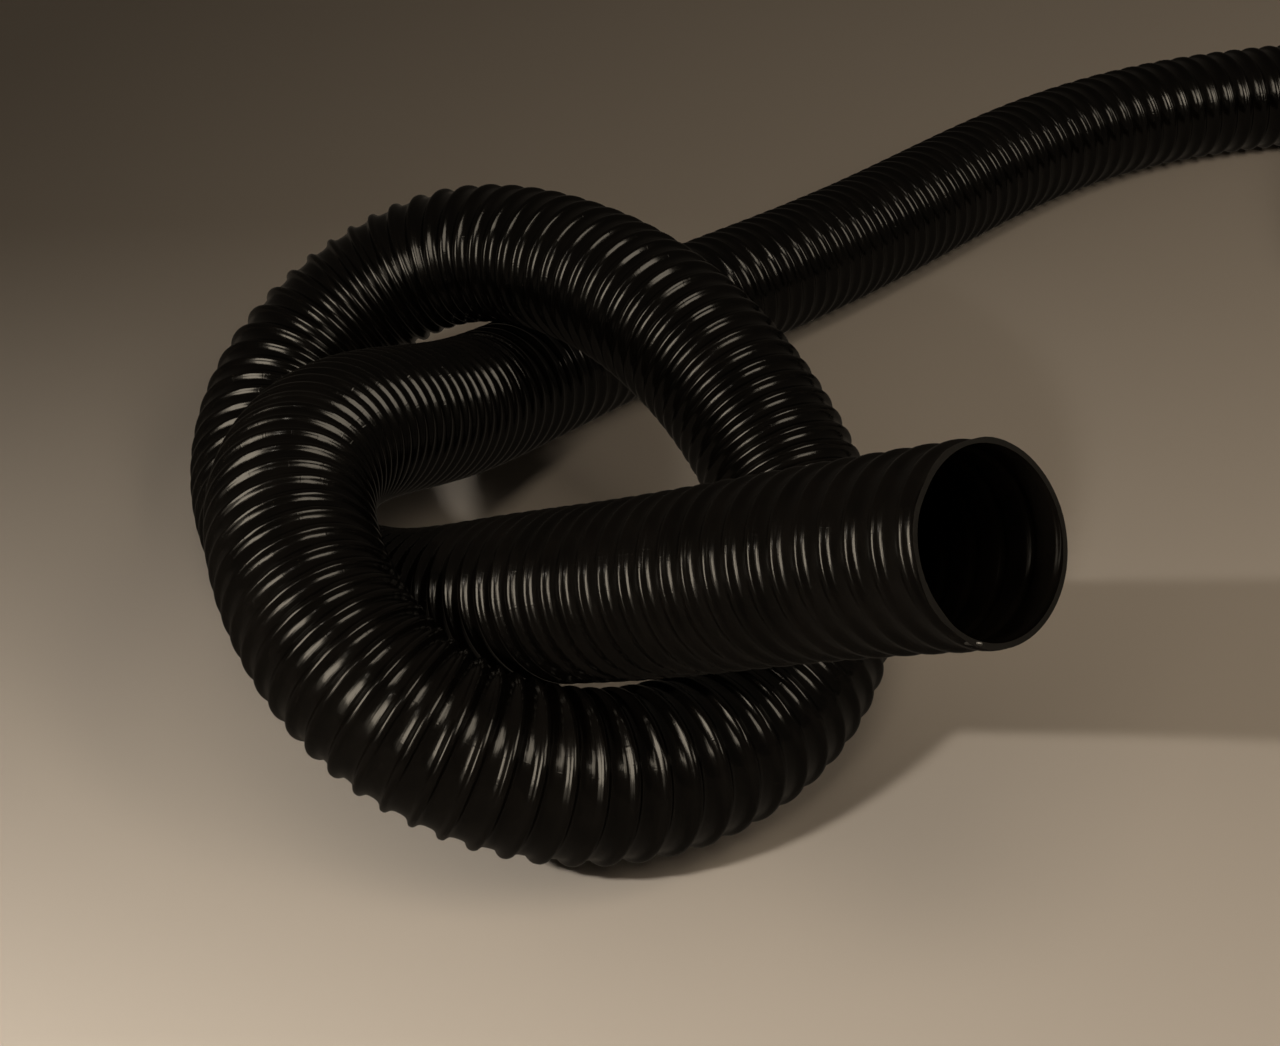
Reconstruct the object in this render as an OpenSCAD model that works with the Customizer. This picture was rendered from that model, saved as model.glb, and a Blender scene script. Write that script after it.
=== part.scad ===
// Wire-reinforced vacuum hose, tied in a loose overhand knot, with a bare cut
// end at the front and a swivel cuff on the far end of its stored turn.
// Millimetres. The floor is z = 0, X runs along the hose's longest extent.

/* [Hose] */
// Inside diameter of the hose
bore_d = 38; // [35:0.5:38]
// Thickness of the inner film
inner_film_t = 0.45; // [0.3:0.05:0.45]
// Thickness of the outer film
outer_film_t = 0.3; // [0.2:0.05:0.3]
// Diameter of the spring-steel wire
wire_d = 1; // [0.8:0.1:1]
// Distance from one turn of the wire to the next
wire_pitch = 6.9; // [5:0.1:9]
// Length of the straight stretch at the cut end
cut_end_len = 32; // [26:1:34]
// Sides of the swept run of hose
run_sides = 12; // [8:1:12]

/* [Cuff] */
// Diameter of the socket that a wand or tool pushes into
socket_d = 38.3; // [36:0.1:39]
// Depth of that socket
socket_len = 42; // [30:1:50]
// Length of hose held inside the collar
grip_len = 40; // [38:1:44]
// Wall of the collar around the hose
collar_t = 2.45; // [2.2:0.05:2.6]
// Wall of the swivel sleeve around the collar
sleeve_t = 2.45; // [2:0.05:2.6]
// Number of finger ribs round the sleeve
finger_ribs = 16; // [8:1:20]
// Radial running clearance of the swivel
swivel_gap = 0.05; // [0.03:0.01:0.08]

/* [Hidden] */

// Route of the hose, from the cut end to the cuff: the control points of a
// uniform cubic spline through the middle of the hose.
route = [
  // straight front end, held up by the ring it lies on
  [66, -163, 122], [35, -129, 98], [-4.5, -103.5, 75.5], [-35, -69, 53],
  [-70, -40.5, 29.5], [-101, 0, 19.5],
  // left side of the knot, up into the top arch
  [-120, 48, 22], [-116, 100, 39], [-68, 120, 69], [-25, 88, 75],
  [4, 46, 76], [31, 5, 61],
  // right side, down to the floor at the front
  [48, -38, 30], [24.5, -83.5, 18], [-20.5, -118, 28.5],
  // front left, over the first turn
  [-67, -116.5, 51.5], [-93, -68, 75], [-87, -16, 71], [-73, 30, 52],
  // back down to the floor and under the arch
  [-59, 75, 32], [-36, 120, 23], [0, 159, 23], [36, 192, 23],
  // tail along the floor
  [70, 230, 21], [103, 269, 21], [136, 308, 21], [173, 343, 21],
  [217, 370, 21], [266, 385, 21], [320, 396, 21], [390, 402, 21],
  // one open turn of stored hose on the floor
  [480, 404, 21], [590, 375, 21], [666, 298, 21], [694, 190, 21],
  [664, 84, 21], [586, 6, 21], [480, -22, 21], [374, 6, 21],
  [296, 84, 21], [268, 190, 21],
  // the end climbs onto the start of the turn, with the cuff on top of it
  [288, 288, 26], [338, 364, 52], [400, 398, 68], [446, 405, 70],
  [490, 405, 70], [535, 405, 70]
];

// Radii of the layers, from the bore outwards
inner_r = bore_d / 2;
film_r = inner_r + inner_film_t;
wire_seg = 24;
wire_r = (film_r + 0.05 + wire_d / 2) / cos(180 / wire_seg);
cover_r = wire_r + wire_d / 2 + 0.02;
hose_r = cover_r + outer_film_t;

// Place of the route's own origin: the part is centred, and lies on the floor
shift = [-284, -126, hose_r - 21];

// Radii of the cuff
collar_in = hose_r + 0.05;
collar_out = collar_in + collar_t;
nose_out = collar_out - 1.6;
sleeve_in = collar_out + swivel_gap;
sleeve_out = sleeve_in + sleeve_t;
oring_w = 1.74;

// Uniform cubic spline with its ends at the first and last control point
last = len(route) - 1;
function unit(v) = v / norm(v);
function ctrl(i) = i < 0 ? 2 * route[0] - route[1]
                 : i > last ? 2 * route[last] - route[last - 1] : route[i];
function at(i, u) = (pow(1 - u, 3) * ctrl(i - 1)
                   + (3 * pow(u, 3) - 6 * u * u + 4) * ctrl(i)
                   + (3 * u + 3 * u * u - 3 * pow(u, 3) + 1) * ctrl(i + 1)
                   + pow(u, 3) * ctrl(i + 2)) / 6;
function heading(i, u) = unit(-(1 - u) * (1 - u) * ctrl(i - 1)
                            + (3 * u * u - 4 * u) * ctrl(i)
                            + (1 + 2 * u - 3 * u * u) * ctrl(i + 1)
                            + u * u * ctrl(i + 2));
function bend(i) = i < 1 || i >= last ? 0
                 : acos(unit(route[i] - route[i - 1]) * unit(route[i + 1] - route[i]));
function cuts(i) = max(bend(i), bend(i + 1)) > 48 ? 3
                 : max(bend(i), bend(i + 1)) > 18 ? 2 : 1;

// Stations of the swept run: [centre, direction], from behind the cut end
front_dir = unit(route[1] - route[0]);
stations = concat(
  [[route[0] + cut_end_len * front_dir, front_dir]],
  [for (i = [1 : last - 1]) for (k = [0 : cuts(i) - 1])
    [at(i, k / cuts(i)), heading(i, k / cuts(i))]],
  [[route[last], unit(route[last] - route[last - 1])]]);

// Ring of points round a station, with one point straight below the middle
function ring(c, d, r, n) =
  let (side = unit(cross(d, [0, 0, 1])), up = cross(side, d))
  [for (k = [0 : n - 1])
    c + r * (sin(360 * k / n) * side - cos(360 * k / n) * up)];

// Closed tube through a list of rings of n points each
module tube(rings, n) {
  m = len(rings);
  polyhedron(
    points = [for (r = rings) for (p = r) p],
    faces = concat(
      [for (j = [0 : m - 2]) for (k = [0 : n - 1])
        [j * n + k, j * n + (k + 1) % n, (j + 1) * n + k]],
      [for (j = [0 : m - 2]) for (k = [0 : n - 1])
        [j * n + (k + 1) % n, (j + 1) * n + (k + 1) % n, (j + 1) * n + k]],
      [[for (k = [n - 1 : -1 : 0]) k]],
      [[for (k = [0 : n - 1]) (m - 1) * n + k]]),
    convexity = 10);
}

// Puts children at the cut end, with +Z into the hose and +X at the lowest
// point of the mouth
module at_cut_end() {
  translate(shift + route[0])
    rotate([0, acos(front_dir[2]), atan2(front_dir[1], front_dir[0])])
      children();
}

// Puts children at the far end of the hose, with +Z out along the cuff
module at_cuff() {
  translate(shift + route[last]) rotate([0, 90, 0]) children();
}

module hose_body() {
  color([0.03, 0.03, 0.03])
    translate(shift)
      tube([for (s = stations) ring(s[0], s[1], hose_r, run_sides)], run_sides);
}

module inner_film_end() {
  color([0.03, 0.03, 0.03])
    at_cut_end()
      difference() {
        cylinder(r = film_r, h = cut_end_len, $fn = 96);
        translate([0, 0, -1])
          cylinder(r = inner_r, h = cut_end_len + 2, $fn = 96);
      }
}

module outer_film_end() {
  color([0.03, 0.03, 0.03])
    at_cut_end()
      difference() {
        cylinder(r = hose_r, h = cut_end_len, $fn = 96);
        translate([0, 0, -1])
          cylinder(r = cover_r, h = cut_end_len + 2, $fn = 96);
      }
}

// Right-handed helix that starts flush with the cut, at its lowest point
module wire_helix() {
  turns = (cut_end_len - wire_d - 0.4) / wire_pitch;
  steps = floor(turns * wire_seg);
  pitch_step = wire_pitch / wire_seg;
  color([0.75, 0.75, 0.76])
    at_cut_end()
      tube([for (j = [0 : steps])
        let (a = 360 * j / wire_seg, z = wire_d / 2 + 0.2 + j * pitch_step,
             out = [cos(a), sin(a), 0])
        [for (k = [0 : 5])
          wire_r * out + [0, 0, z]
          + wire_d / 2 * (cos(60 * k) * out + [0, 0, sin(60 * k)])]], 6);
}

// Moulded insert that the hose is fixed in, with a groove for the retaining
// ring on its skirt and one for the O-ring on its nose
module cuff_collar() {
  color([0.10, 0.10, 0.11])
    at_cuff()
      rotate_extrude($fn = 96)
        polygon([
          [collar_in, -grip_len], [collar_out - 0.6, -grip_len],
          [collar_out, -grip_len + 1.2], [collar_out, -34.6],
          [collar_out - 1.2, -34.6], [collar_out - 1.2, -32.9],
          [collar_out, -32.9], [collar_out, 3], [nose_out, 3],
          [nose_out, 8], [nose_out - 1.8, 8], [nose_out - 1.8, 10.6],
          [nose_out, 10.6], [nose_out, 15.4], [nose_out - 0.6, 16],
          [inner_r, 16], [inner_r, 0], [collar_in, 0]]);
}

// Outer part of the cuff, free to turn on the collar
module swivel_sleeve() {
  mouth_r = socket_d / 2;
  tip = 20 + socket_len;
  color([0.05, 0.05, 0.055])
    at_cuff()
      union() {
        rotate_extrude($fn = 96)
          polygon([
            [sleeve_in, -32.5], [sleeve_out - 0.8, -32.5],
            [sleeve_out, -31.7], [sleeve_out, 12], [sleeve_out - 0.4, 14],
            [mouth_r + 4.4, 22], [mouth_r + 4.2, tip - 6],
            [mouth_r + 4.8, tip - 5], [mouth_r + 4.8, tip - 0.8],
            [mouth_r + 4.2, tip], [mouth_r, tip],
            [mouth_r, 20], [inner_r - 1.2, 20], [inner_r - 1.2, 16.4],
            [nose_out + 0.07, 16.4], [nose_out + 0.07, 3.3],
            [sleeve_in, 3.3]]);
        for (k = [0 : finger_ribs - 1])
          rotate([0, 0, 360 * (k + 0.5) / finger_ribs])
            translate([sleeve_out - 0.2, 0, -26])
              cylinder(r = 1.2, h = 34, $fn = 24);
      }
}

// Split spring ring in the collar's groove: it keeps the sleeve on
module retaining_ring() {
  color([0.6, 0.6, 0.62])
    at_cuff()
      translate([0, 0, -34.5])
        rotate([0, 0, 15])
          rotate_extrude(angle = 330, $fn = 96)
            translate([collar_out - 1.15, 0])
              square([2.8, 1.5]);
}

// Rubber ring in the nose's groove: it seals the running gap
module o_ring() {
  color([0.02, 0.02, 0.02])
    at_cuff()
      translate([0, 0, 9.3])
        rotate_extrude($fn = 72)
          translate([nose_out - 0.9, 0])
            circle(d = oring_w, $fn = 32);
}

hose_body();
inner_film_end();
outer_film_end();
wire_helix();
cuff_collar();
swivel_sleeve();
retaining_ring();
o_ring();
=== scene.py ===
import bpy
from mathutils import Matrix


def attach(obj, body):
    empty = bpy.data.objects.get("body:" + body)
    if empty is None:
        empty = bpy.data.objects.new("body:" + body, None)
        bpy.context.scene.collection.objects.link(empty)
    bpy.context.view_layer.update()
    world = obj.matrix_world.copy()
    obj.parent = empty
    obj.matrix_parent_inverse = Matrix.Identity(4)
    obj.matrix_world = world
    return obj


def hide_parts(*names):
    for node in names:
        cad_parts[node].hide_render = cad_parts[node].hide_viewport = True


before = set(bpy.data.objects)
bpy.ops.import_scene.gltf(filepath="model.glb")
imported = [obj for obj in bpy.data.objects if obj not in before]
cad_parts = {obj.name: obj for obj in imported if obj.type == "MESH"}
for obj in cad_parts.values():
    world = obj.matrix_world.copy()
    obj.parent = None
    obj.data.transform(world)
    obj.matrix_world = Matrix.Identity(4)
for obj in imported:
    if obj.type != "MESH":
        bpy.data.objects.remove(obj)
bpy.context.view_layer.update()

import math

import bpy
import numpy as np
from mathutils import Matrix, Vector

# ------------------------------------------------------------------ camera
# The picture is 1280 x 1046. Angles in radians: yaw from +Y towards +X,
# pitch downwards, roll clockwise.
YAW, PITCH, ROLL, FOCAL_PX = -0.01240, 0.51615, 0.01507, 2308.0


def make_camera():
    fwd = Vector((math.sin(YAW) * math.cos(PITCH), math.cos(YAW) * math.cos(PITCH), -math.sin(PITCH)))
    right = Vector((math.cos(YAW), -math.sin(YAW), 0.0))
    down = fwd.cross(right)
    x = math.cos(ROLL) * right + math.sin(ROLL) * down
    y = math.sin(ROLL) * right - math.cos(ROLL) * down
    data = bpy.data.cameras.new("camera")
    data.sensor_fit = "HORIZONTAL"
    data.sensor_width = 36.0
    data.lens = 36.0 * FOCAL_PX / 1280.0
    data.clip_start, data.clip_end = 0.02, 60.0
    cam = bpy.data.objects.new("camera", data)
    bpy.context.scene.collection.objects.link(cam)
    m = Matrix((x, y, -fwd)).transposed().to_4x4()
    m.translation = Vector((-0.28138, -0.67677, 0.34716))
    cam.matrix_world = m
    bpy.context.scene.camera = cam
    return cam


make_camera()

# ------------------------------------------------------------------ route
# The route's own points, as the CAD has them, in millimetres here and in metres in the meshes.
HOSE_R = 20.992579
SHIFT = np.array([-284.0, -126.0, HOSE_R - 21.0])
ROUTE = np.array([
    [66, -163, 122], [35, -129, 98], [-4.5, -103.5, 75.5], [-35, -69, 53],
    [-70, -40.5, 29.5], [-101, 0, 19.5],
    [-120, 48, 22], [-116, 100, 39], [-68, 120, 69], [-25, 88, 75],
    [4, 46, 76], [31, 5, 61],
    [48, -38, 30], [24.5, -83.5, 18], [-20.5, -118, 28.5],
    [-67, -116.5, 51.5], [-93, -68, 75], [-87, -16, 71], [-73, 30, 52],
    [-59, 75, 32], [-36, 120, 23], [0, 159, 23], [36, 192, 23],
    [70, 230, 21], [103, 269, 21], [136, 308, 21], [173, 343, 21],
    [217, 370, 21], [266, 385, 21], [320, 396, 21], [390, 402, 21],
    [480, 404, 21], [590, 375, 21], [666, 298, 21], [694, 190, 21],
    [664, 84, 21], [586, 6, 21], [480, -22, 21], [374, 6, 21],
    [296, 84, 21], [268, 190, 21],
    [288, 288, 26], [338, 364, 52], [400, 398, 68], [446, 405, 70],
    [490, 405, 70], [535, 405, 70],
], float)


def spline(points, steps):
    """The uniform cubic spline through the middle of the hose, ends included."""
    q = np.vstack([2 * points[0] - points[1], points, 2 * points[-1] - points[-2]])
    n = len(points) - 1
    t = np.arange(n * steps + 1) / steps
    i = np.minimum(t.astype(int), n - 1)
    u = (t - i)[:, None]
    w = [(1 - u) ** 3, 3 * u**3 - 6 * u**2 + 4, 3 * u + 3 * u**2 - 3 * u**3 + 1, u**3]
    return sum(w[k] * q[i + k] for k in range(4)) / 6


class Line:
    """The centreline by arc length, in millimetres, with a frame that doesn't twist."""

    def __init__(self, step=0.5):
        p = spline(ROUTE + SHIFT, 240)
        along = np.concatenate([[0], np.cumsum(np.linalg.norm(np.diff(p, axis=0), axis=1))])
        self.length = along[-1]
        self.s = np.linspace(0, self.length, int(self.length / step) + 1)
        self.step = self.s[1]
        self.p = np.stack([np.interp(self.s, along, p[:, k]) for k in range(3)], 1)
        t = np.gradient(self.p, self.s, axis=0)
        t[0], t[-1] = ROUTE[1] - ROUTE[0], ROUTE[-1] - ROUTE[-2]
        t = self.smooth(t, 3)
        self.t = t / np.linalg.norm(t, axis=1, keepdims=True)
        self.k = self.smooth(np.gradient(self.t, self.s, axis=0), 5)
        tilt, turn = math.acos(self.t[0, 2]), math.atan2(self.t[0, 1], self.t[0, 0])
        u = np.zeros_like(self.p)
        u[0] = [math.cos(tilt) * math.cos(turn), math.cos(tilt) * math.sin(turn), -math.sin(tilt)]
        for j in range(len(self.s) - 1):
            v1 = self.p[j + 1] - self.p[j]
            c1 = v1 @ v1
            ul = u[j] - 2 / c1 * (v1 @ u[j]) * v1
            tl = self.t[j] - 2 / c1 * (v1 @ self.t[j]) * v1
            v2 = self.t[j + 1] - tl
            c2 = v2 @ v2
            u[j + 1] = ul - 2 / c2 * (v2 @ ul) * v2 if c2 > 1e-20 else ul
            u[j + 1] -= (u[j + 1] @ self.t[j + 1]) * self.t[j + 1]
            u[j + 1] /= np.linalg.norm(u[j + 1])
        self.u = u
        self.v = np.cross(self.t, u)

    @staticmethod
    def smooth(a, n):
        pad = np.concatenate([np.repeat(a[:1], n, 0), a, np.repeat(a[-1:], n, 0)])
        c = np.cumsum(np.vstack([np.zeros((1, a.shape[1])), pad]), axis=0)
        return (c[2 * n + 1:] - c[:-2 * n - 1]) / (2 * n + 1)

    def take(self, table, s):
        x = np.clip(s, 0, self.length) / self.step
        i = np.minimum(x.astype(int), len(self.s) - 2)
        f = (x - i)[..., None]
        return table[i] * (1 - f) + table[i + 1] * f

    def bend(self, s, a):
        """Curvature towards the angle a, per millimetre."""
        k, u, v = self.take(self.k, s), self.take(self.u, s), self.take(self.v, s)
        return (k * u).sum(-1) * np.cos(a) + (k * v).sum(-1) * np.sin(a)

    def point(self, s, a, r):
        u, v = self.take(self.u, s), self.take(self.v, s)
        out = np.cos(a)[..., None] * u + np.sin(a)[..., None] * v
        return self.take(self.p, s) + np.asarray(r)[..., None] * out


LINE = Line()
LENGTH = LINE.length

# Distance from one bead to the next, by how far along the hose: stretched
# round the tight bends, gathered where the hose is pushed together.
PITCH_S = [0, 40, 80, 120, 160, 200, 260, 320, 345, 370, 390, 430, 460, 485, 510, 535, 560, 600, 640, 670, 690, 715, 740,
           770, 800, 825, 855, 885, 910, 940, 1000, 1060, 1110, 1200, 1250, 1300, 1350, 1400, 1450, 1520]
PITCH_P = [8.1, 7.59, 6.105, 6.033, 7.041, 6.2, 5.898, 6.8, 7.4, 7.0, 6.1, 6.6, 7.3, 7.5, 6.8, 5.8, 5.4, 5.5, 6.2, 7.4,
           7.8, 7.0, 5.9, 5.1, 4.9, 5.3, 6.0, 6.6, 7.2, 6.7, 6.8, 6.7, 6.3, 6.5, 7.2, 8.0, 8.3, 8.1, 7.6, 6.9]
# Turns by which the winding runs ahead of that table.
AHEAD_S = [484, 492, 508, 520, 535, 550, 560, 590, 650, 700, 730, 765, 790, 805, 820, 835, 846, 885, 915, 955, 1000, 1060]
AHEAD_T = [0, 0.25, 0.4, 0.62, 0.78, 0.9, 1.0, 1.0, 0.5, 0.5, 0.57, 0.64, 0.59, 0.3, 0.23, 0.15, 0, -0.1, 0, 0.15, 0.1, 0]
# Where the cut meets a bead, in turns from the lowest point of the mouth, and where the wire is snipped off.
CUT_TURN = -0.193
SNIP_ANGLE = math.radians(33)


def pitch_table():
    p = np.interp(LINE.s, PITCH_S, PITCH_P)
    n = 24
    k = np.ones(2 * n + 1) / (2 * n + 1)
    p = np.convolve(np.concatenate([np.full(n, p[0]), p, np.full(n, p[-1])]), k, "valid")
    turns = np.concatenate([[0], np.cumsum((1 / p[1:] + 1 / p[:-1]) / 2 * np.diff(LINE.s))])
    ahead = np.interp(LINE.s, AHEAD_S, AHEAD_T)
    turns += np.convolve(np.pad(ahead, n, "edge"), k, "valid")
    return 1 / np.gradient(turns, LINE.s), turns + CUT_TURN


PITCH, TURNS = pitch_table()


def s_of(turns):
    """How far along the hose a number of turns of the wire is, past the ends too."""
    s = np.interp(turns, TURNS, LINE.s)
    s = np.where(turns < TURNS[0], (turns - TURNS[0]) * PITCH[0], s)
    return np.where(turns > TURNS[-1], LENGTH + (turns - TURNS[-1]) * PITCH[-1], s)


# ------------------------------------------------------------------ profile
CREST, WEB = HOSE_R, 19.42       # outside radius on the bead and between beads
BORE, BORE_BEAD = 18.98, 19.74   # inside radius between beads and behind a bead
BEAD_W = 1.18


def bead_height(x):
    """Height of the bead at a distance x from its middle, in parts of its full height."""
    return 1 / (1 + (np.abs(x) / BEAD_W) ** 4)


def outer_radius(d, pitch, stretch):
    """Outside radius at an axial distance d from the nearest bead, where the beads are pitch apart.
    The film between two beads hangs in a little, and more where the hose is gathered."""
    half = pitch / 2
    h = bead_height(d)
    x = np.clip((np.abs(d) - 1.6) / np.maximum(half - 1.6, 0.2), 0, 1)
    sag = 0.02 + 0.13 * np.clip(1 - stretch, 0, 1)
    return WEB + (CREST - WEB) * h - sag * x * x * (3 - 2 * x)


def inner_radius(d):
    return BORE + (BORE_BEAD - BORE) / (1 + (np.abs(d) / 0.95) ** 4)


COLUMNS = 72
BEAD_D = [0.0, 0.35, 0.7, 1.05, 1.45, 2.0]
ANGLES = np.arange(COLUMNS) * 2 * math.pi / COLUMNS


def rows_between(first, last, webs, bead_d, radius_of, inside=False):
    """Every row of the helical grid from turn first to turn last: arrays of how far along, and of the
    radius, one column per angle. The rows follow the bead, and lie closest where it curves."""
    s_rows, r_rows = [], []
    a = np.arange(COLUMNS + 1) * 2 * math.pi / COLUMNS
    r_ref = 19.2 if inside else 20.2

    def state(n):
        s = s_of(n + a / (2 * math.pi))
        g = 1 - np.clip(LINE.bend(s, a) * r_ref, -0.9, 0.72)
        pitch = np.interp(s, LINE.s, PITCH) * g
        return s, g, pitch, np.minimum(1.0, 0.46 * pitch / bead_d[-1])

    now = state(first)
    for n in range(first, last):
        s0, g0, p0, k0 = now
        s1, g1, p1, k1 = now = state(n + 1)
        for d in bead_d:
            s_rows.append(s0 + d * k0 / g0)
            r_rows.append((d * k0, p0, g0))
        lo, hi = s0 + bead_d[-1] * k0 / g0, s1 - bead_d[-1] * k1 / g1
        for w in range(1, webs + 1):
            f = w / (webs + 1)
            s = lo * (1 - f) + hi * f
            p, g = p0 * (1 - f) + p1 * f, g0 * (1 - f) + g1 * f
            gap = np.minimum((s - s0) * g0, (s1 - s) * g1)
            s_rows.append(s)
            r_rows.append((gap, p, g))
        for d in bead_d[:0:-1]:
            s_rows.append(s1 - d * k1 / g1)
            r_rows.append((d * k1, p1, g1))
    s = np.array(s_rows)
    r = np.array([radius_of(d) if inside else radius_of(d, p, g) for d, p, g in r_rows])
    # the cut end is flared a little
    x = np.clip((s - 0.3) / 3.2, 0, 1)
    lift = (BORE + 0.55 if inside else WEB + 1.35) * (1 - x * x * (3 - 2 * x)) - r
    lift[x >= 1] = -9.0
    return s, r + np.where(lift > -1, 0.5 * (lift + np.sqrt(lift**2 + 0.02)), 0)


def grid(s_lo, s_hi, webs, bead_d, radius_of, inside=False):
    """Points, faces, and the two end loops of the part of the surface between two flat sections."""
    first = int(math.floor(np.interp(s_lo, LINE.s, TURNS))) - 2
    last = int(math.ceil(np.interp(s_hi, LINE.s, TURNS))) + 2
    s, r = rows_between(first, last, webs, bead_d, radius_of, inside)
    per = webs + 2 * len(bead_d) - 1
    n_rows = len(s)
    s, r = s[:, :COLUMNS], r[:, :COLUMNS]
    below, above = s <= s_lo + 0.02, s >= s_hi - 0.02
    angle = np.broadcast_to(ANGLES, s.shape)
    # radius on the two end sections, one value per column
    loops = []
    for cut in (s_lo, s_hi):
        rr = [np.interp(cut, np.maximum.accumulate(s[:, c]), r[:, c]) for c in range(COLUMNS)]
        loops.append(np.array(rr))
    inner = ~(below | above)
    index = np.full(s.shape, -1)
    index[inner] = np.arange(inner.sum()) + 2 * COLUMNS
    cols = np.broadcast_to(np.arange(COLUMNS), s.shape)
    index[below] = cols[below]
    index[above] = cols[above] + COLUMNS
    pts = np.concatenate([
        LINE.point(np.full(COLUMNS, s_lo), ANGLES, loops[0]),
        LINE.point(np.full(COLUMNS, s_hi), ANGLES, loops[1]),
        LINE.point(s[inner], angle[inner], r[inner]),
    ])
    # the last column meets the first one a whole turn further on
    nxt = np.full(s.shape, -1)
    nxt[:, :-1] = index[:, 1:]
    nxt[:-per, -1] = index[per:, 0]
    ok = np.ones(n_rows, bool)
    ok[n_rows - per:] = False
    a = index[:-1][ok[:-1]]
    b = nxt[:-1][ok[:-1]]
    rows_up = np.arange(1, n_rows)[ok[:-1]]
    c = nxt[rows_up]
    d = index[rows_up]
    quads = np.stack([a, b, c, d], -1).reshape(-1, 4)
    # the map: metres along the winding, and across it from one bead to the next
    across = np.concatenate([bead_d, np.linspace(bead_d[-1], 7 - bead_d[-1], webs + 2)[1:], 7 - np.array(bead_d[-2::-1])]) / 1000
    k = np.arange(n_rows - 1)[ok[:-1]]
    turn = (first + k // per)[:, None] + np.arange(COLUMNS + 1)[None] / COLUMNS
    u0, u1 = 0.132 * turn[:, :-1], 0.132 * turn[:, 1:]
    v0, v1 = (np.broadcast_to(across[k % per + n][:, None], u0.shape) for n in (0, 1))
    uv = np.stack([np.stack([u0, v0], -1), np.stack([u1, v0], -1), np.stack([u1, v1], -1), np.stack([u0, v1], -1)], 2)
    uv = uv.reshape(-1, 4, 2)
    good = (quads >= 0).all(1)
    return pts, quads[good], uv[good]


def tidy(quads, uv):
    """Quads with repeated corners become triangles, or go."""
    same = quads == np.roll(quads, -1, axis=1)
    count = same.sum(1)
    # opposite corners may be the same point only in a face of no area
    whole = (count == 0) & (quads[:, 0] != quads[:, 2]) & (quads[:, 1] != quads[:, 3])
    one = quads[count == 1]
    drop = same[count == 1].argmax(1)
    cols = (drop[:, None] + 1 + np.arange(3)[None]) % 4
    tri = np.take_along_axis(one, cols, 1)
    tri_uv = np.take_along_axis(uv[count == 1], cols[:, :, None], 1)
    good = (tri[:, 0] != tri[:, 1]) & (tri[:, 1] != tri[:, 2]) & (tri[:, 0] != tri[:, 2])
    return quads[whole], uv[whole], tri[good], tri_uv[good]


def build_mesh(name, points_mm, quads, tris, quad_uv, tri_uv, sharp=()):
    points = np.ascontiguousarray(points_mm / 1000.0, np.float32)
    mesh = bpy.data.meshes.new(name)
    mesh.vertices.add(len(points))
    mesh.vertices.foreach_set("co", points.ravel())
    loops = np.concatenate([quads.ravel(), tris.ravel()]).astype(np.int32)
    mesh.loops.add(len(loops))
    mesh.loops.foreach_set("vertex_index", loops)
    n = len(quads) + len(tris)
    start = np.concatenate([np.arange(len(quads)) * 4, len(quads) * 4 + np.arange(len(tris)) * 3]).astype(np.int32)
    mesh.polygons.add(n)
    mesh.polygons.foreach_set("loop_start", start)
    mesh.update(calc_edges=True)
    layer = mesh.uv_layers.new(name="winding", do_init=False)
    layer.uv.foreach_set("vector", np.concatenate([quad_uv.ravel(), tri_uv.ravel()]).astype(np.float32))
    mesh.validate()
    mesh.polygons.foreach_set("use_smooth", np.ones(len(mesh.polygons), bool))
    if len(sharp):
        ids = np.zeros(len(points), int)
        for i, group in enumerate(sharp):
            ids[group] = i + 1
        e = np.zeros(len(mesh.edges) * 2, np.int32)
        mesh.edges.foreach_get("vertices", e)
        e = e.reshape(-1, 2)
        mark = (ids[e[:, 0]] > 0) & (ids[e[:, 0]] == ids[e[:, 1]])
        attribute = mesh.attributes.new("sharp_edge", "BOOLEAN", "EDGE")
        attribute.data.foreach_set("value", mark)
    mesh.update()
    obj = bpy.data.objects.new(name, mesh)
    bpy.context.scene.collection.objects.link(obj)
    return obj


class Parts:
    """Points and faces put together from several grids, with points shared at the joins."""

    def __init__(self):
        self.points, self.quads, self.tris, self.count = [], [], [], 0
        self.quad_uv, self.tri_uv = [], []

    def add(self, pts, quads, uv, flip=False):
        if flip:
            quads, uv = quads[:, ::-1], uv[:, ::-1]
        full, full_uv, tri, tri_uv = tidy(quads, uv)
        self.points.append(pts)
        self.quads.append(full + self.count)
        self.tris.append(tri + self.count)
        self.quad_uv.append(full_uv)
        self.tri_uv.append(tri_uv)
        base = self.count
        self.count += len(pts)
        return base

    def ring_between(self, lower, upper, flip=False):
        k = np.arange(COLUMNS)
        q = np.stack([lower + k, lower + (k + 1) % COLUMNS, upper + (k + 1) % COLUMNS, upper + k], 1)
        a = k * 0.132 / COLUMNS
        b = a + 0.132 / COLUMNS
        uv = np.stack([np.stack(x, -1) for x in ((a, a * 0), (b, a * 0), (b, a * 0 + 0.001), (a, a * 0 + 0.001))], 1)
        self.quads.append(q[:, ::-1] if flip else q)
        self.quad_uv.append(uv[:, ::-1] if flip else uv)

    def merged(self, same):
        """Arrays, with each loop of the pairs in same made one: (kept base, dropped base)."""
        points = np.concatenate(self.points)
        quads, tris = np.concatenate(self.quads), np.concatenate(self.tris)
        where = np.arange(len(points))
        for kept, dropped in same:
            where[dropped:dropped + COLUMNS] = np.arange(kept, kept + COLUMNS)
        quads, tris = where[quads], where[tris]
        used = np.zeros(len(points), bool)
        used[quads.ravel()] = True
        used[tris.ravel()] = True
        new = np.cumsum(used) - 1
        uvs = np.concatenate(self.quad_uv), np.concatenate(self.tri_uv)
        return points[used], new[quads], new[tris], *uvs, lambda i: new[where[i]]


SEEN_S = 1450.0
NEAR_IN = 70.0


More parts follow.
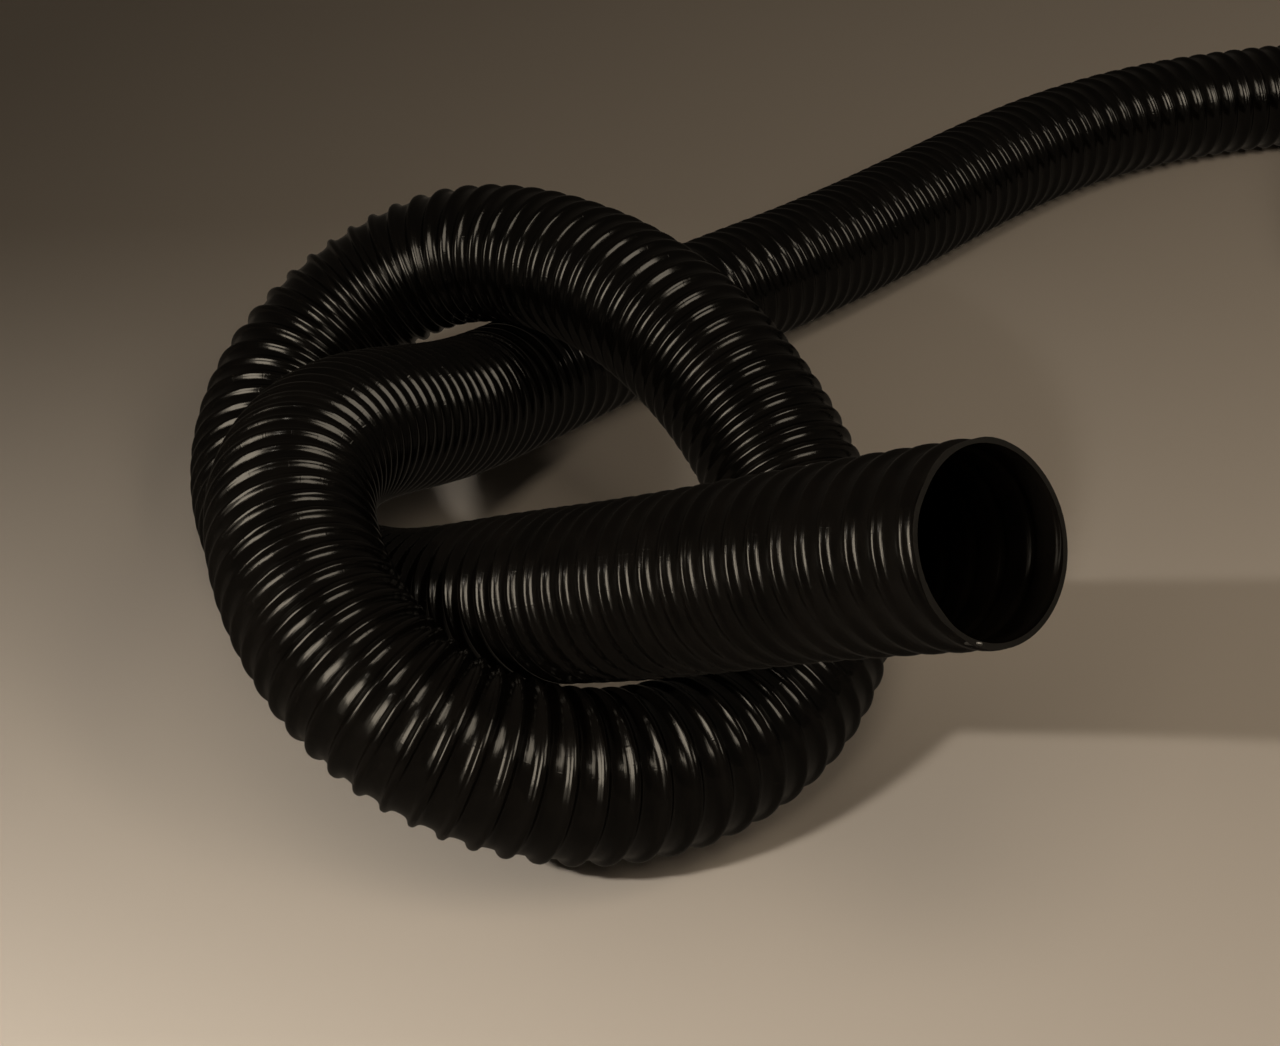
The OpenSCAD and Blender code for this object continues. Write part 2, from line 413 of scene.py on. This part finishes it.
def make_hose():
    parts = Parts()
    a = parts.add(*grid(0.0, SEEN_S, 3, BEAD_D, outer_radius))
    b = parts.add(*grid(SEEN_S, LENGTH, 1, [0.0, 0.8, 1.9], outer_radius))
    c = parts.add(*grid(0.0, NEAR_IN, 1, [0.0, 0.35, 0.65, 0.95, 1.3, 1.8, 2.4], inner_radius, True), flip=True)
    e = parts.add(*grid(LENGTH - NEAR_IN, LENGTH, 1, [0.0, 0.8, 1.6], inner_radius, True), flip=True)
    # deep inside the bore: plain rings
    n = 340
    s = np.linspace(NEAR_IN, LENGTH - NEAR_IN, n)
    s2, a2 = np.meshgrid(s, ANGLES, indexing="ij")
    pts = LINE.point(s2, a2, np.full(s2.shape, BORE)).reshape(-1, 3)
    k = np.arange(COLUMNS)
    rows = []
    for j in range(n - 1):
        rows.append(np.stack([j * COLUMNS + k, j * COLUMNS + (k + 1) % COLUMNS, (j + 1) * COLUMNS + (k + 1) % COLUMNS, (j + 1) * COLUMNS + k], 1))
    rows = np.concatenate(rows)
    u = (np.arange(len(rows)) % COLUMNS) * 0.132 / COLUMNS
    v = (np.arange(len(rows)) // COLUMNS) * 0.0086
    step_u, step_v = 0.132 / COLUMNS, 0.0086
    uv = np.stack([np.stack(x, -1) for x in ((u, v), (u + step_u, v), (u + step_u, v + step_v), (u, v + step_v))], 1)
    d = parts.add(pts, rows, uv, flip=True)
    # lips: the flat cut at the mouth, and the end inside the cuff
    parts.ring_between(a, c, flip=True)
    parts.ring_between(b + COLUMNS, e + COLUMNS)
    same = [(a + COLUMNS, b), (c + COLUMNS, d), (e, d + (n - 1) * COLUMNS)]
    points, quads, tris, quad_uv, tri_uv, at = parts.merged(same)
    sharp = [at(np.arange(x, x + COLUMNS)) for x in (a, c, b + COLUMNS, e + COLUMNS)]
    # the flat cut faces are the last quads, and the bore lies between them and the outside
    finish = np.zeros(len(quads) + len(tris), np.int32)
    finish[len(parts.quads[0]) + len(parts.quads[1]):len(quads)] = 2
    finish[len(quads) + len(parts.tris[0]) + len(parts.tris[1]):] = 2
    finish[len(quads) - 2 * COLUMNS:len(quads)] = 1
    return build_mesh("hose", points, quads, tris, quad_uv, tri_uv, sharp), finish


def make_wire():
    """The spring wire in the bead at the cut end. Its snipped tip leaves the bead and shows at the cut."""
    steps, sides, r = 5 * 72, 10, 0.5
    a = SNIP_ANGLE + np.concatenate([np.linspace(0, 0.5, 30)[:-1], np.linspace(0.5, 10 * math.pi, steps - 28)])
    past = a - SNIP_ANGLE
    first = s_of(SNIP_ANGLE / (2 * math.pi))
    bent = np.exp(-(past / 0.11) ** 2)
    s = s_of(a / (2 * math.pi)) - (first + 0.1) * bent
    mid = LINE.point(s, a, CREST - 0.66 - 0.3 * bent)
    along = np.gradient(mid, axis=0)
    along /= np.linalg.norm(along, axis=1, keepdims=True)
    out = LINE.point(s, a, np.full(a.shape, CREST)) - mid
    out -= (out * along).sum(1, keepdims=True) * along
    out /= np.linalg.norm(out, axis=1, keepdims=True)
    side = np.cross(along, out)
    b = np.arange(sides) * 2 * math.pi / sides
    ring = mid[:, None] + r * (np.cos(b)[None, :, None] * out[:, None] + np.sin(b)[None, :, None] * side[:, None])
    pts = ring.reshape(-1, 3)
    k = np.arange(sides)
    quads = np.concatenate([np.stack([j * sides + k, j * sides + (k + 1) % sides, (j + 1) * sides + (k + 1) % sides,
                                      (j + 1) * sides + k], 1) for j in range(steps)])
    n = len(pts)
    pts = np.concatenate([pts, mid[:1], mid[-1:]])
    last = steps * sides
    tris = np.concatenate([np.stack([(k + 1) % sides, k, np.full(sides, n)], 1),
                           np.stack([last + k, last + (k + 1) % sides, np.full(sides, n + 1)], 1)])
    rims = [np.arange(sides), last + np.arange(sides)]
    return build_mesh("wire", pts, quads, tris, np.zeros((len(quads), 4, 2)), np.zeros((len(tris), 3, 2)), rims)


hose, hose_finish = make_hose()
wire = make_wire()
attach(wire, "hose")
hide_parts("wire_helix")
path = LINE.p[::8].tolist() + [LINE.p[-1].tolist()]
path = [[x / 1000.0 for x in p] for p in path]
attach(hose, "hose")
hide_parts("hose_body", "inner_film_end", "outer_film_end")


# ------------------------------------------------------------------ materials
def new_material(name):
    m = bpy.data.materials.new(name)
    m.use_nodes = True
    nodes, links = m.node_tree.nodes, m.node_tree.links
    nodes.clear()
    out = nodes.new("ShaderNodeOutputMaterial")
    shader = nodes.new("ShaderNodeBsdfPrincipled")
    links.new(shader.outputs["BSDF"], out.inputs["Surface"])
    return m, nodes, links, shader


def noise_at(nodes, links, source, scale, detail, stretch=None):
    """A noise texture at the given scale, drawn out by stretch, and its value's socket."""
    if stretch:
        mapping = nodes.new("ShaderNodeMapping")
        mapping.inputs["Scale"].default_value = stretch
        links.new(source, mapping.inputs["Vector"])
        source = mapping.outputs["Vector"]
    noise = nodes.new("ShaderNodeTexNoise")
    noise.inputs["Scale"].default_value = scale
    noise.inputs["Detail"].default_value = detail
    links.new(source, noise.inputs["Vector"])
    return noise.outputs["Fac"]


def ranged(nodes, links, value, lo, hi, out_lo, out_hi):
    m = nodes.new("ShaderNodeMapRange")
    m.inputs["From Min"].default_value, m.inputs["From Max"].default_value = lo, hi
    m.inputs["To Min"].default_value, m.inputs["To Max"].default_value = out_lo, out_hi
    links.new(value, m.inputs["Value"])
    return m.outputs["Result"]


def bumped(nodes, links, height, strength, distance, normal=None):
    b = nodes.new("ShaderNodeBump")
    b.inputs["Strength"].default_value = strength
    b.inputs["Distance"].default_value = distance
    links.new(height, b.inputs["Height"])
    if normal is not None:
        links.new(normal, b.inputs["Normal"])
    return b.outputs["Normal"]


def film_material(name, gloss, rough_lo, rough_hi):
    """Glossy black film: drawn lines along the winding, fine creases across it, and a slight haze."""
    m, nodes, links, shader = new_material(name)
    coord = nodes.new("ShaderNodeTexCoord")
    uv = nodes.new("ShaderNodeUVMap")
    uv.uv_map = "winding"
    haze = noise_at(nodes, links, coord.outputs["Object"], 90.0, 3.0)
    lines = noise_at(nodes, links, uv.outputs["UV"], 1.0, 3.0, (45.0, 2600.0, 1.0))
    creases = noise_at(nodes, links, uv.outputs["UV"], 1.0, 2.0, (700.0, 260.0, 1.0))
    waves = noise_at(nodes, links, coord.outputs["Object"], 420.0, 2.0)
    ramp = nodes.new("ShaderNodeValToRGB")
    ramp.color_ramp.elements[0].position, ramp.color_ramp.elements[1].position = 0.35, 0.7
    ramp.color_ramp.elements[0].color = (0.0024, 0.0020, 0.0016, 1)
    ramp.color_ramp.elements[1].color = (0.0046, 0.0038, 0.0031, 1)
    links.new(haze, ramp.inputs["Fac"])
    links.new(ramp.outputs["Color"], shader.inputs["Base Color"])
    rough = nodes.new("ShaderNodeMath")
    rough.operation = "ADD"
    links.new(ranged(nodes, links, haze, 0.3, 0.7, rough_lo, rough_hi), rough.inputs[0])
    links.new(ranged(nodes, links, lines, 0.4, 0.75, 0.0, 0.05), rough.inputs[1])
    links.new(rough.outputs["Value"], shader.inputs["Roughness"])
    normal = bumped(nodes, links, waves, 0.25, 0.00012)
    normal = bumped(nodes, links, ranged(nodes, links, lines, 0.3, 0.7, 0.0, 1.0), 0.5, 0.00003, normal)
    normal = bumped(nodes, links, ranged(nodes, links, creases, 0.62, 0.74, 0.0, 1.0), 0.5, 0.00004, normal)
    links.new(normal, shader.inputs["Normal"])
    shader.inputs["IOR"].default_value = 1.5
    shader.inputs["Specular IOR Level"].default_value = gloss
    return m


def assign(obj, *materials):
    obj.data.materials.clear()
    for material in materials:
        obj.data.materials.append(material)


def plastic_material(name, dark, light, rough, scale, strength):
    m, nodes, links, shader = new_material(name)
    coord = nodes.new("ShaderNodeTexCoord")
    noise = nodes.new("ShaderNodeTexNoise")
    noise.inputs["Scale"].default_value = scale
    noise.inputs["Detail"].default_value = 5.0
    links.new(coord.outputs["Object"], noise.inputs["Vector"])
    ramp = nodes.new("ShaderNodeValToRGB")
    ramp.color_ramp.elements[0].color = (*dark, 1)
    ramp.color_ramp.elements[1].color = (*light, 1)
    links.new(noise.outputs["Fac"], ramp.inputs["Fac"])
    links.new(ramp.outputs["Color"], shader.inputs["Base Color"])
    value = nodes.new("ShaderNodeMapRange")
    value.inputs["To Min"].default_value = rough[0]
    value.inputs["To Max"].default_value = rough[1]
    links.new(noise.outputs["Fac"], value.inputs["Value"])
    links.new(value.outputs["Result"], shader.inputs["Roughness"])
    bump = nodes.new("ShaderNodeBump")
    bump.inputs["Strength"].default_value = strength
    bump.inputs["Distance"].default_value = 0.0002
    links.new(noise.outputs["Fac"], bump.inputs["Height"])
    links.new(bump.outputs["Normal"], shader.inputs["Normal"])
    return m, shader


cut_m, _ = plastic_material("hose_cut", (0.006, 0.0053, 0.0043), (0.013, 0.0115, 0.0093), (0.38, 0.5), 1400.0, 0.5)
assign(hose, film_material("hose_film", 0.5, 0.12, 0.18), cut_m, film_material("hose_bore", 0.06, 0.14, 0.2))
hose.data.polygons.foreach_set("material_index", hose_finish)
hose.data.update()
sleeve_m, _ = plastic_material("cuff_plastic", (0.014, 0.014, 0.015), (0.026, 0.026, 0.027), (0.38, 0.52), 900.0, 0.35)
assign(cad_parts["swivel_sleeve"], sleeve_m)
collar_m, _ = plastic_material("collar_plastic", (0.035, 0.035, 0.037), (0.055, 0.055, 0.058), (0.34, 0.46), 700.0, 0.25)
assign(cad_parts["cuff_collar"], collar_m)
steel_m, steel_s = plastic_material("ring_steel", (0.42, 0.42, 0.43), (0.58, 0.58, 0.59), (0.24, 0.4), 1500.0, 0.2)
steel_s.inputs["Metallic"].default_value = 1.0
assign(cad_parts["retaining_ring"], steel_m)
wire_m, wire_s = plastic_material("spring_wire", (0.26, 0.255, 0.25), (0.36, 0.355, 0.34), (0.34, 0.48), 2500.0, 0.2)
wire_s.inputs["Metallic"].default_value = 1.0
assign(wire, wire_m)
seal_m, _ = plastic_material("seal_rubber", (0.01, 0.01, 0.01), (0.02, 0.02, 0.02), (0.45, 0.6), 1200.0, 0.2)
assign(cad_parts["o_ring"], seal_m)


# ------------------------------------------------------------------ stage
def make_stage():
    m, nodes, links, shader = new_material("floor")
    coord = nodes.new("ShaderNodeTexCoord")
    noise = nodes.new("ShaderNodeTexNoise")
    noise.inputs["Scale"].default_value = 3.0
    noise.inputs["Detail"].default_value = 3.0
    links.new(coord.outputs["Object"], noise.inputs["Vector"])
    ramp = nodes.new("ShaderNodeValToRGB")
    ramp.color_ramp.elements[0].color = (0.585, 0.535, 0.475, 1)
    ramp.color_ramp.elements[1].color = (0.615, 0.565, 0.505, 1)
    links.new(noise.outputs["Fac"], ramp.inputs["Fac"])
    links.new(ramp.outputs["Color"], shader.inputs["Base Color"])
    shader.inputs["Roughness"].default_value = 0.8
    shader.inputs["Specular IOR Level"].default_value = 0.0
    size = 12.0
    mesh = bpy.data.meshes.new("floor")
    mesh.from_pydata([(-size, -size, 0), (size, -size, 0), (size, size, 0), (-size, size, 0)], [], [(0, 1, 2, 3)])
    floor = bpy.data.objects.new("floor", mesh)
    floor.location = (0, 0, -0.0002)
    floor.visible_glossy = False
    bpy.context.scene.collection.objects.link(floor)
    floor.data.materials.append(m)
    return floor


make_stage()


def area(name, place, target, size, power, on_floor, in_gloss, colour=(1, 0.90, 0.76)):
    data = bpy.data.lights.new(name, "AREA")
    data.shape = "RECTANGLE"
    data.size, data.size_y = size
    data.energy = power
    data.color = colour
    light = bpy.data.objects.new(name, data)
    bpy.context.scene.collection.objects.link(light)
    place, target = Vector(place), Vector(target)
    light.location = place
    light.rotation_euler = (target - place).to_track_quat("-Z", "Y").to_euler()
    light.visible_diffuse = on_floor
    light.visible_glossy = in_gloss
    light.visible_camera = False
    return light


# Two softboxes. Each is a lamp that lights the floor and throws the shadows,
# and a screen of even brightness that shows in the gloss.
MIDDLE = (-0.33, -0.12, 0.05)
LEFT = (-0.697, -0.642, 0.431)
RIGHT = (0.674, -0.99, 1.27)
area("lamp_left", LEFT, (-0.691, -0.869, 0.0), (0.07, 0.07), 11.1, True, False, (1, 0.915, 0.81))
area("lamp_right", RIGHT, (2.0, 0.31, 0.0), (0.9, 0.9), 9.4, True, False, (1, 0.84, 0.66))
area("lamp_front", (-0.3, -1.0, 1.2), (1.49, -1.66, 0.0), (1.0, 1.0), 10.4, True, False, (1, 0.84, 0.66))
area("screen_left", LEFT, MIDDLE, (0.30, 0.36), 1.6, False, True, (1, 0.87, 0.68))
area("screen_left_rim", (-0.705, -0.652, 0.40), MIDDLE, (0.40, 0.60), 0.45, False, True, (1, 0.87, 0.68))
area("screen_right", RIGHT, MIDDLE, (0.85, 0.85), 7.0, False, True, (1, 0.87, 0.68))
area("screen_floor", (-0.3, -0.1, -0.02), (-0.3, -0.1, 1.0), (3.0, 3.0), 0.7, False, True, (1, 0.80, 0.58))
area("glint", (-0.45, -0.64, 0.68), MIDDLE, (0.02, 0.02), 0.05, False, True)

world = bpy.data.worlds.new("world")
world.use_nodes = True
world.node_tree.nodes["Background"].inputs["Color"].default_value = (1.0, 0.84, 0.66, 1)
world.node_tree.nodes["Background"].inputs["Strength"].default_value = 0.034
bpy.context.scene.world = world
bpy.context.scene.view_settings.view_transform = "Standard"
